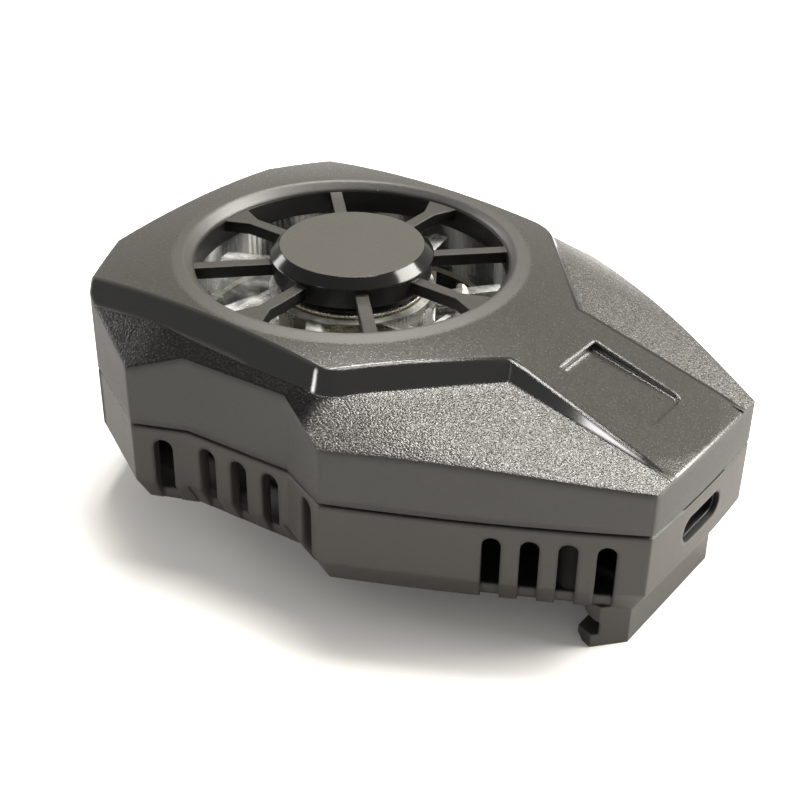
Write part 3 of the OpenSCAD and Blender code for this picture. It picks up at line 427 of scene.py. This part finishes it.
dress(laminate("main_board_mask", 300.0), "main_board")
dress(laminate("ring_board_mask", 360.0), "led_board", "motor_board")


# The parts on the main board: a moulded driver chip, a pressed inductor with a round dimple,
# and fired capacitors with tinned ends. All are soldered flat on the board.
finish_chip, place = open_finish("chip_resin")
grit = place.grain(3000.0, 2.0, 0.6)
close_finish(place, {"Base Color": grit.tint((0.010, 0.010, 0.011, 1.0), (0.022, 0.022, 0.023, 1.0)),
                     "Roughness": 0.5 + grit * 0.15, "Normal": place.relief(grit, 0.00002, moulded(place, 0.0002))})
dress(finish_chip, "driver_chip")

finish_ferrite, place = open_finish("pressed_ferrite")
grit = place.grain(2200.0, 3.0, 0.7)
tone = grit.tint((0.035, 0.033, 0.031, 1.0), (0.085, 0.080, 0.074, 1.0))
close_finish(place, {"Base Color": tone, "Roughness": 0.55 + grit * 0.25,
                     "Normal": place.relief(grit, 0.00004, moulded(place, 0.0002))})
dress(finish_ferrite, "inductor", "magnet_ring")

finish_cap, place = open_finish("fired_capacitor")
y = axes(place)[1]
row_y = 4.0
ends = abs(y - row_y).rise(0.62, 0.68)
grit = place.grain(1800.0, 2.0, 0.5)
tone = ends.tint(grit.tint((0.30, 0.19, 0.10, 1.0), (0.40, 0.27, 0.15, 1.0)), (0.70, 0.70, 0.69, 1.0))
close_finish(place, {"Base Color": tone, "Metallic": ends, "Roughness": 0.42 - ends * 0.12,
                     "Normal": place.relief(grit, 0.00001, moulded(place, 0.00015))})
dress(finish_cap, "capacitors")


# The power socket: a drawn steel shell, plated dark, round a black tongue, soldered to the end of the
# main board so that its mouth sits just inside the slot of the end wall.
finish_socket, place = open_finish("drawn_steel")
drawn = place.node("Mapping", None, {"Vector": place, "Scale": (90.0, 3000.0, 3000.0)})
lines = drawn.grain(1.0, 2.0, 0.5)
tone = lines.tint((0.055, 0.055, 0.057, 1.0), (0.10, 0.10, 0.10, 1.0))
close_finish(place, {"Base Color": tone, "Metallic": 1.0, "Roughness": 0.26 + lines * 0.12,
                     "Normal": place.relief(lines, 0.000006, moulded(place, 0.00012))})
dress(finish_socket, "usb_shell")

finish_tongue, place = open_finish("black_tongue")
x, y, _ = axes(place)
grit = place.grain(2500.0, 2.0, 0.5)
level = abs(slope(place)).rise(0.8, 0.95)
contact_step = 0.5
strips = place.maths("COSINE", y * (math.tau / contact_step)).rise(0.1, 0.35)
leaf = level * strips * x.rise(48.4, 48.5) * x.fall(51.6, 51.7) * abs(y).fall(2.9, 3.0)
tone = leaf.tint(grit.tint((0.006, 0.006, 0.006, 1.0), (0.014, 0.014, 0.014, 1.0)), (0.72, 0.52, 0.22, 1.0))
close_finish(place, {"Base Color": tone, "Metallic": leaf, "Roughness": 0.45 - leaf * 0.2,
                     "Normal": place.relief(grit, 0.00001, moulded(place, 0.0001))})
dress(finish_tongue, "usb_tongue")


# The lamps: six small white packages soldered on the ring board, outside the clear ring, with patches
# of yellow phosphor on top. They shine inward into the ring.
finish_lamp, place = open_finish("lamp_package")
up = slope(place).rise(0.6, 0.9)
grit = place.grain(2600.0, 2.0, 0.5)
window = up * place.grain(900.0, 1.0, 0.5).rise(0.42, 0.5)
tone = window.tint(grit.tint((0.78, 0.78, 0.76, 1.0), (0.88, 0.88, 0.86, 1.0)), (0.80, 0.66, 0.16, 1.0))
close_finish(place, {"Base Color": tone, "Roughness": 0.38 + grit * 0.1,
                     "Normal": place.relief(grit, 0.00001, moulded(place, 0.0001))})
dress(finish_lamp, "leds")


# The clear ring: a turned tube of clear plastic that lies on the ring board and carries the light
# round the duct. Fine upright flutes break up what is seen through it; broad pale streaks in it are
# painted reflections, and it grows more opaque towards grazing view as a painted reflection.
def waves(place, count, shift=0.0):
    """A sine with so many waves in one turn about the fan's axis."""
    turn = place.node("TexGradient", {"gradient_type": "RADIAL"}, {"Vector": place}, out="Fac")
    return place.maths("SINE", turn * (math.tau * count) + shift)


finish_ring, place = open_finish("fluted_clear_plastic")
flute = waves(place, 150.0)
broad = waves(place, 13.0, place.grain(40.0, 2.0, 0.5) * 9.0)
edge = place.node("LayerWeight", None, {"Blend": 0.35}, out="Facing")
# Painted reflection: pale upright streaks in colour and cover, and more cover towards grazing view.
painted_reflection_streak = broad.rise(-0.2, 0.9)
tone = painted_reflection_streak.tint((0.30, 0.31, 0.30, 1.0), (0.88, 0.89, 0.87, 1.0))
cover = 0.10 + painted_reflection_streak * 0.26 + edge * 0.28
close_finish(place, {"Base Color": tone, "Roughness": 0.08 + painted_reflection_streak * 0.12, "IOR": 1.49, "Alpha": cover,
                     "Normal": place.relief(flute * 0.5 + broad * 0.5, 0.00016)})
dress(finish_ring, "light_ring")


# The motor's core: stamped sheets stacked on the bush, with four poles.
# The edges of the sheets show as fine level lines under varnish.
finish_core, place = open_finish("stacked_sheets")
z = axes(place)[2]
sheet_t = 0.5
sheets = place.maths("SINE", z * (math.tau / sheet_t)) * 0.5 + 0.5
grit = place.grain(1500.0, 2.0, 0.6)
tone = (sheets * 0.6 + grit * 0.4).tint((0.10, 0.10, 0.105, 1.0), (0.30, 0.30, 0.31, 1.0))
close_finish(place, {"Base Color": tone, "Metallic": 0.85, "Roughness": 0.38 + grit * 0.2,
                     "Normal": place.relief(sheets, 0.00004)})
dress(finish_core, "stator_core")


# The windings: enamelled copper wire laid in two layers round each pole, turn beside turn.
# Each turn is a round wire that bends round the pole's corners.
def wire_turn(mesh, wire, across, along, corner):
    """One closed turn of wire round a pole, in the plane x = 0."""
    start = bmesh.ops.create_circle(mesh, cap_ends=False, segments=8, radius=wire)["verts"]
    bmesh.ops.rotate(mesh, verts=start, cent=(0, 0, 0), matrix=Matrix.Rotation(math.pi / 2, 3, "X"))
    bmesh.ops.translate(mesh, verts=start, vec=(0.0, -(across - corner), -along))
    last = list(start) + list({edge for v in start for edge in v.link_edges})
    for side in range(4):
        run = 2.0 * ((across if side % 2 == 0 else along) - corner)
        way = Matrix.Rotation(side * math.pi / 2, 3, "X") @ Vector((0.0, run, 0.0))
        edges = [g for g in last if isinstance(g, bmesh.types.BMEdge)]
        grown = bmesh.ops.extrude_edge_only(mesh, edges=edges)["geom"]
        points = [g for g in grown if isinstance(g, bmesh.types.BMVert)]
        bmesh.ops.translate(mesh, verts=points, vec=way)
        centre = sum((v.co for v in points), Vector()) / len(points)
        pivot = centre + Matrix.Rotation((side + 1) * math.pi / 2, 3, "X") @ Vector((0.0, corner, 0.0))
        ends = [g for g in grown if isinstance(g, (bmesh.types.BMVert, bmesh.types.BMEdge))]
        last = bmesh.ops.spin(mesh, geom=ends, cent=pivot, axis=(1.0, 0.0, 0.0), dvec=(0.0, 0.0, 0.0),
                              angle=math.pi / 2, steps=4, use_merge=False)["geom_last"]


def place_mesh(name, mesh):
    """A new smooth object from a mesh."""
    bmesh.ops.remove_doubles(mesh, verts=mesh.verts, dist=1e-7)
    bmesh.ops.recalc_face_normals(mesh, faces=mesh.faces)
    for face in mesh.faces:
        face.smooth = True
    made = bpy.data.objects.new(name, bpy.data.meshes.new(name))
    mesh.to_mesh(made.data)
    mesh.free()
    bpy.context.collection.objects.link(made)
    return made


wire = 0.155 * mm
across = 1.43 * mm
along = 2.22 * mm
corner = 0.3 * mm
layer_step = 0.31 * mm
turn_step = 0.325 * mm
first_turn = 4.39 * mm
core_z = 20.3 * mm
mesh = bmesh.new()
for layer, turns in ((0, 7), (1, 6)):
    out = layer_step * layer
    for turn in range(turns):
        before = set(mesh.verts)
        wire_turn(mesh, wire, across + out, along + out, corner + out)
        new = [v for v in mesh.verts if v not in before]
        bmesh.ops.translate(mesh, verts=new, vec=(first_turn + turn_step * (turn + 0.5 * layer), 0.0, core_z))
one_pole = list(mesh.verts) + list(mesh.edges) + list(mesh.faces)
for pole in range(1, 4):
    copied = bmesh.ops.duplicate(mesh, geom=one_pole)["geom"]
    bmesh.ops.rotate(mesh, verts=[g for g in copied if isinstance(g, bmesh.types.BMVert)], cent=(0, 0, 0),
                     matrix=Matrix.Rotation(pole * math.pi / 2, 3, "Z"))
windings = place_mesh("windings", mesh)
finish_copper, place = open_finish("enamelled_copper")
tarnish = place.grain(700.0, 3.0, 0.6)
tone = tarnish.tint((0.34, 0.13, 0.045, 1.0), (0.62, 0.28, 0.11, 1.0))
close_finish(place, {"Base Color": tone, "Metallic": 0.9, "Roughness": 0.25 + tarnish * 0.15,
                     "Normal": place.relief(tarnish, 0.00001)})
windings.data.materials.append(finish_copper)
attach(windings, "housing")
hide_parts("coils")


# The bush: pressed bronze powder soaked with oil, a push fit in the core. The washer above it is a
# thin stamped plastic ring, and the shaft is ground steel pressed into the cup.
finish_bush, place = open_finish("sintered_bronze")
pores = place.node("TexVoronoi", {"feature": "F1"}, {"Vector": place, "Scale": 5200.0}, out="Distance")
tone = pores.tint((0.22, 0.14, 0.06, 1.0), (0.52, 0.36, 0.18, 1.0))
close_finish(place, {"Base Color": tone, "Metallic": 0.9, "Roughness": 0.42 + pores * 0.2,
                     "Normal": place.relief(pores, 0.00002, moulded(place, 0.00012))})
dress(finish_bush, "bearing_bush")

finish_washer, place = open_finish("stamped_washer")
grit = place.grain(1900.0, 2.0, 0.5)
close_finish(place, {"Base Color": grit.tint((0.72, 0.70, 0.62, 1.0), (0.84, 0.82, 0.75, 1.0)),
                     "Roughness": 0.45 + grit * 0.12, "Normal": place.relief(grit, 0.00001)})
dress(finish_washer, "shaft_washer")

finish_shaft, place = open_finish("ground_steel")
drawn = place.node("Mapping", None, {"Vector": place, "Scale": (300.0, 300.0, 6000.0)})
lines = drawn.grain(1.0, 2.0, 0.5)
close_finish(place, {"Base Color": lines.tint((0.58, 0.58, 0.59, 1.0), (0.72, 0.72, 0.72, 1.0)),
                     "Metallic": 1.0, "Roughness": 0.12 + lines * 0.12,
                     "Normal": place.relief(lines, 0.000004, moulded(place, 0.0001))})
dress(finish_shaft, "shaft")


# The rotor cup: drawn steel with a dull yellow chromate film, knurled round its upper part, turned
# bright at its top edge, with the magnet ring glued inside it.
def reach(x, y):
    """How far a point lies from the fan's axis."""
    return x.maths("SQRT", x * x + y * y)


finish_cup, place = open_finish("chromated_cup")
x, y, z = axes(place)
knurl = waves(place, 120.0) * z.rise(20.6, 20.8)
film = place.grain(260.0, 3.0, 0.6)
tone = film.tint((0.10, 0.075, 0.033, 1.0), (0.26, 0.215, 0.115, 1.0))
lip = z.rise(22.35, 22.5) * reach(x, y).rise(9.3, 9.5)
tone = lip.tint(tone, (0.82, 0.79, 0.70, 1.0))
close_finish(place, {"Base Color": tone, "Metallic": 1.0, "Roughness": 0.20 + film * 0.16,
                     "Normal": place.relief(knurl, 0.00006, moulded(place, 0.00025))})
dress(finish_cup, "rotor_cup")


# The impeller: clear plastic moulded in one piece over the rotor cup, seven curved blades.
# Flow marks and a faint frosting give it silvery streaks; the top of its hub is cloudier. It grows more
# opaque towards grazing view, a painted reflection at the blades' edges.
finish_fan, place = open_finish("clear_fan_plastic")
x, y, z = axes(place)
out = reach(x, y)
flow = place.node("Mapping", None, {"Vector": place, "Scale": (220.0, 220.0, 900.0)}).grain(1.0, 4.0, 0.6)
edge = place.node("LayerWeight", None, {"Blend": 0.3}, out="Facing")
frost = flow.rise(0.35, 0.75)
rim = out.rise(19.2, 19.9)
hub = out.fall(11.0, 11.6)
brow = hub * z.rise(21.85, 22.0)
tone = frost.tint((0.30, 0.31, 0.29, 1.0), (0.88, 0.89, 0.86, 1.0))
# Painted reflection: the cover rises towards grazing view, so the blades' edges show pale.
cover = 0.07 + frost * 0.36 * (1.0 - hub * 0.7) + edge * (0.50 - hub * 0.34) + rim * 0.12 + brow * 0.5
cover = cover.least(0.9)
close_finish(place, {"Base Color": tone, "Roughness": 0.06 + frost * 0.14, "IOR": 1.49, "Alpha": cover,
                     "Normal": place.relief(flow, 0.00018, moulded(place, 0.0002))})
dress(finish_fan, "impeller")


# The fan guard: eight spokes, a hub and a thin ring in one dark moulding that drops into the
# top shell's opening. Its top faces have a fine spark texture like the deck's; what lies deep and its
# upright sides are painted near black as shade.
finish_guard, place = open_finish("guard_plastic")
z = axes(place)[2]
fine = place.grain(2900.0, 2.0, 0.55)
broad = place.grain(90.0, 3.0, 0.6)
top = slope(place).rise(0.6, 0.9)
painted_deep_shade = z.fall(23.0, 25.4).most(slope(place).fall(0.2, 0.5))
tone = (broad * 0.4 + fine * 0.6).tint((0.024, 0.0228, 0.0205, 1.0), (0.044, 0.0418, 0.0375, 1.0))
# Painted shade: the low-lying parts and the upright sides are coloured near black.
tone = painted_deep_shade.tint(tone, (0.0035, 0.0034, 0.0032, 1.0))
tone = (specks(place, 420.0, 0.03) * top).tint(tone, (0.50, 0.49, 0.47, 1.0))
close_finish(place, {"Base Color": tone, "Roughness": 0.38 + (fine - 0.5) * 0.3, "Specular IOR Level": 0.35,
                     "Normal": place.relief(fine * (0.35 + top * 0.5), 0.00006, moulded(place, 0.0003))})
dress(finish_guard, "grille")


# The hub cap: a small turned-looking disc pushed into the guard's hub by its spigot.
# The flat top is matt; the bevel round it is polished black.
finish_cap_disc, place = open_finish("hub_cap_plastic")
fine = place.grain(3200.0, 1.5, 0.5)
broad = place.grain(110.0, 3.0, 0.6)
bevel = slope(place).fall(0.85, 0.95)
tone = broad.tint((0.046, 0.0433, 0.0374, 1.0), (0.054, 0.0510, 0.0441, 1.0))
tone = bevel.tint(tone, (0.005, 0.005, 0.0052, 1.0))
tone = (specks(place, 500.0, 0.02) * (1.0 - bevel)).tint(tone, (0.55, 0.54, 0.52, 1.0))
rough = (0.46 + (fine - 0.5) * 0.2) * (1.0 - bevel) + bevel * 0.12
close_finish(place, {"Base Color": tone, "Roughness": rough, "Specular IOR Level": 0.3,
                     "Normal": place.relief(fine * (1.0 - bevel) * 0.5, 0.00005, moulded(place, 0.0003))})
dress(finish_cap_disc, "hub_cap")


# The top shell: one dark grey moulding, spark-textured on the deck and coarser on the slightly domed
# side panels, with polished bevels between panel and deck. The front side panels are painted paler as
# a sheen of light, the rear ones painted darker as shade, with a metallic share that dims their gloss.
# It drops over the lower shell and is held by four screws from below.
finish_top, place = open_finish("top_shell_plastic")
x, y, _ = axes(place)
y = abs(y)
up = slope(place)
deck_half = 24.6
deck_turn = 15.5
turn_x, turn_y = 0.742, 0.670
spine_half = 8.0
spine_taper = 0.0647
spine_start = 22.5
neck_x = 30.5
beside_deck = (y - deck_half).most((x - deck_turn) * turn_x + (y - deck_half) * turn_y)
beside_spine = (y - (spine_half + (x - neck_x) * spine_taper)).most(spine_start - x)
outside = beside_deck.least(beside_spine)
recess = x.rise(34.9, 35.1) * x.fall(48.4, 48.6) * y.fall(4.2, 4.3) * up.fall(0.80, 0.86)
rear = x.fall(15.0, 18.0)
narrowing = x.fall(2.0, 15.0) * 1.3
strip = outside.rise(-0.8, -0.6) * (outside + narrowing).fall(2.7, 3.0) * up.fall(0.74, 0.80) * up.rise(0.25, 0.36)
crest = outside.rise(-0.60, -0.40) * outside.fall(0.05, 0.15) * x.fall(52.0, 53.0) * up.rise(0.8, 0.85)
polished = strip.most(crest)
wall = up.fall(0.25, 0.45) * outside.rise(0.2, 0.5).most(x.rise(50.2, 50.6)) * (1.0 - recess)
painted_inside_shade = inside(x, y) * up.fall(0.1, 0.2)
panel = outside.rise(0.0, 0.3) * up.rise(0.7, 0.8)
lip = reach(x, y).fall(23.4, 24.2)

fine = place.grain(4200.0, 1.5, 0.6)
coarse = place.grain(4200.0, 1.5, 0.5)
broad = place.grain(60.0, 3.0, 0.6)
peaks = coarse.rise(0.38, 0.66)
wall_tone, wall_rough, wall_height = satin_wall(place)
# Painted shade: the same satin as the lower shell's walls, mixed halfway to black so that these walls, which catch
# more of the lit table's reflection, come out as dark as the lower ones.
wall_tone = place.node("Mix", {"data_type": "RGBA"}, {0: 0.55, 6: wall_tone, 7: (0.0, 0.0, 0.0, 1.0)}, out=2)
deck_tone = fine.rise(0.35, 0.75) * 0.6 + broad * 0.4
deck_tone = deck_tone.tint((0.017, 0.0161, 0.0141, 1.0), (0.036, 0.0342, 0.0301, 1.0))
# Painted sheen: the front side panels' grain is coloured paler than the deck, as light shining on them.
front_panel_painted_sheen = peaks.tint((0.014, 0.0133, 0.0118, 1.0), (0.080, 0.0760, 0.0673, 1.0))
# Painted shade: the rear side panels are coloured near black, as shade.
rear_panel_painted_shade = peaks.tint((0.003, 0.0030, 0.0030, 1.0), (0.014, 0.0137, 0.0132, 1.0))
tone = wall.tint(panel.tint(deck_tone, rear.tint(front_panel_painted_sheen, rear_panel_painted_shade)), wall_tone)
tone = polished.tint(tone, (0.005, 0.005, 0.0052, 1.0))
# Painted shade: the shell's inner side is coloured near black, as shade where little light gets in.
tone = painted_inside_shade.tint(tone, (0.005, 0.0048, 0.0045, 1.0))
tone = (specks(place, 300.0, 0.07) * (1.0 - polished)).tint(tone, (0.55, 0.54, 0.52, 1.0))

rough = 0.23 + (fine - 0.5) * 0.24 + panel * ((coarse - 0.5) * 0.10)
rough = rough * (1.0 - lip) + lip * (0.46 + (fine - 0.5) * 0.24)
rough = rough * (1.0 - wall) + (wall_rough + 0.12) * wall
rough = rough * (1.0 - polished) + polished * 0.06

texture = fine * (1.0 - panel) * 0.4 + coarse * panel * (3.0 - rear * 2.2)
height = texture * (1.0 - polished) * (1.0 - wall) + wall_height * wall
edges = wall.bend(moulded(place, 0.0007), moulded(place, 0.0020))
panel_x = 38.0
panel_y = 15.0
along = x - panel_x
across = (y - panel_y).most(0.0)
dome = along * along * 0.06 + across * across * 0.10
lean = y * 4.2
depth = 0.00006
deck_normal = place.relief(height, depth, edges)
front_normal = place.relief(height - dome, depth, edges)
rear_normal = place.relief(height - lean, depth, edges)
close_finish(place, {"Base Color": tone, "Metallic": rear * panel * 0.6, "Roughness": rough,
                     "Specular IOR Level": 0.85,
                     "Normal": panel.bend(deck_normal, rear.bend(front_normal, rear_normal))})
dress(finish_top, "top_shell")


# The jaw and the fixed hook: satin mouldings that grip the phone's edges. The jaw's tongue slides in
# the lower shell's floor; the hook is screwed up against the floor at the other end.
finish_jaw, place = open_finish("jaw_plastic")
tone, rough, height = satin_wall(place)
rub = place.node("Mapping", None, {"Vector": place, "Scale": (90.0, 2600.0, 2600.0)}).grain(1.0, 2.0, 0.5)
tone = specks(place, 360.0, 0.02).tint(tone, (0.50, 0.49, 0.47, 1.0))
close_finish(place, {"Base Color": tone, "Roughness": rough + (rub - 0.5) * 0.12,
                     "Normal": place.relief(height, 0.00004, moulded(place, 0.0004))})
dress(finish_jaw, "clamp_jaw", "rear_hook")


# The grip pads: ribbed black rubber pressed into pockets of the jaw and the hook.
# The rubber is matt and takes a pale bloom on the faces that look up.
finish_rubber, place = open_finish("ribbed_rubber")
grit = place.grain(2100.0, 3.0, 0.6)
bloom = place.grain(240.0, 2.0, 0.5).rise(0.5, 0.8) * slope(place).rise(0.6, 0.9)
tone = grit.tint((0.010, 0.010, 0.010, 1.0), (0.020, 0.020, 0.020, 1.0))
tone = (bloom * 0.5).tint(tone, (0.07, 0.07, 0.068, 1.0))
close_finish(place, {"Base Color": tone, "Roughness": 0.72 + grit * 0.18,
                     "Normal": place.relief(grit, 0.00003, moulded(place, 0.00015))})
dress(finish_rubber, "jaw_pad", "hook_pad")


# The return springs: hard-drawn steel wire, one each side of the board, looped over a post of the
# lower shell and a pin of the jaw's tongue. On the real cooler they stretch as the jaw is pulled out;
# here the wire is drawn in one fixed shape.
wire = 0.2 * mm
coil = 1.25 * mm
turns = 9
steps = turns * 20
coil_start = 24.2 * mm
coil_end = 32.0 * mm
spring_y = 8.0 * mm
spring_z = 4.95 * mm
post_x = 23.2 * mm
pin_x = 33.0 * mm
loop = 0.93 * mm
upright = Matrix.Rotation(math.pi / 2, 3, "X")
mesh = bmesh.new()
for side in (spring_y, -spring_y):
    start = bmesh.ops.create_circle(mesh, cap_ends=True, segments=10, radius=wire)["verts"]
    bmesh.ops.rotate(mesh, verts=start, cent=(0, 0, 0), matrix=upright)
    bmesh.ops.translate(mesh, verts=start, vec=(coil_start, side, spring_z + coil))
    rim = list(start) + list({edge for v in start for edge in v.link_edges})
    rim += list({face for v in start for face in v.link_faces})
    bmesh.ops.spin(mesh, geom=rim, cent=(coil_start, side, spring_z), axis=(1.0, 0.0, 0.0),
                   dvec=((coil_end - coil_start) / steps, 0.0, 0.0), angle=math.tau * turns, steps=steps,
                   use_merge=False)
    for loop_x in (post_x, pin_x):
        ring = bmesh.ops.create_circle(mesh, cap_ends=False, segments=10, radius=wire)["verts"]
        bmesh.ops.rotate(mesh, verts=ring, cent=(0, 0, 0), matrix=upright)
        bmesh.ops.translate(mesh, verts=ring, vec=(loop_x + loop, side, spring_z))
        bmesh.ops.spin(mesh, geom=list(ring) + list({edge for v in ring for edge in v.link_edges}),
                       cent=(loop_x, side, spring_z), axis=(0.0, 0.0, 1.0), dvec=(0.0, 0.0, 0.0),
                       angle=math.tau, steps=24, use_merge=True)
springs = place_mesh("return_spring_wire", mesh)
finish_spring, place = open_finish("spring_wire")
scale = place.grain(1600.0, 3.0, 0.6)
close_finish(place, {"Base Color": scale.tint((0.36, 0.36, 0.37, 1.0), (0.60, 0.60, 0.60, 1.0)),
                     "Metallic": 1.0, "Roughness": 0.2 + scale * 0.15, "Normal": place.relief(scale, 0.000006)})
springs.data.materials.append(finish_spring)
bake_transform(springs)
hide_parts("return_springs")
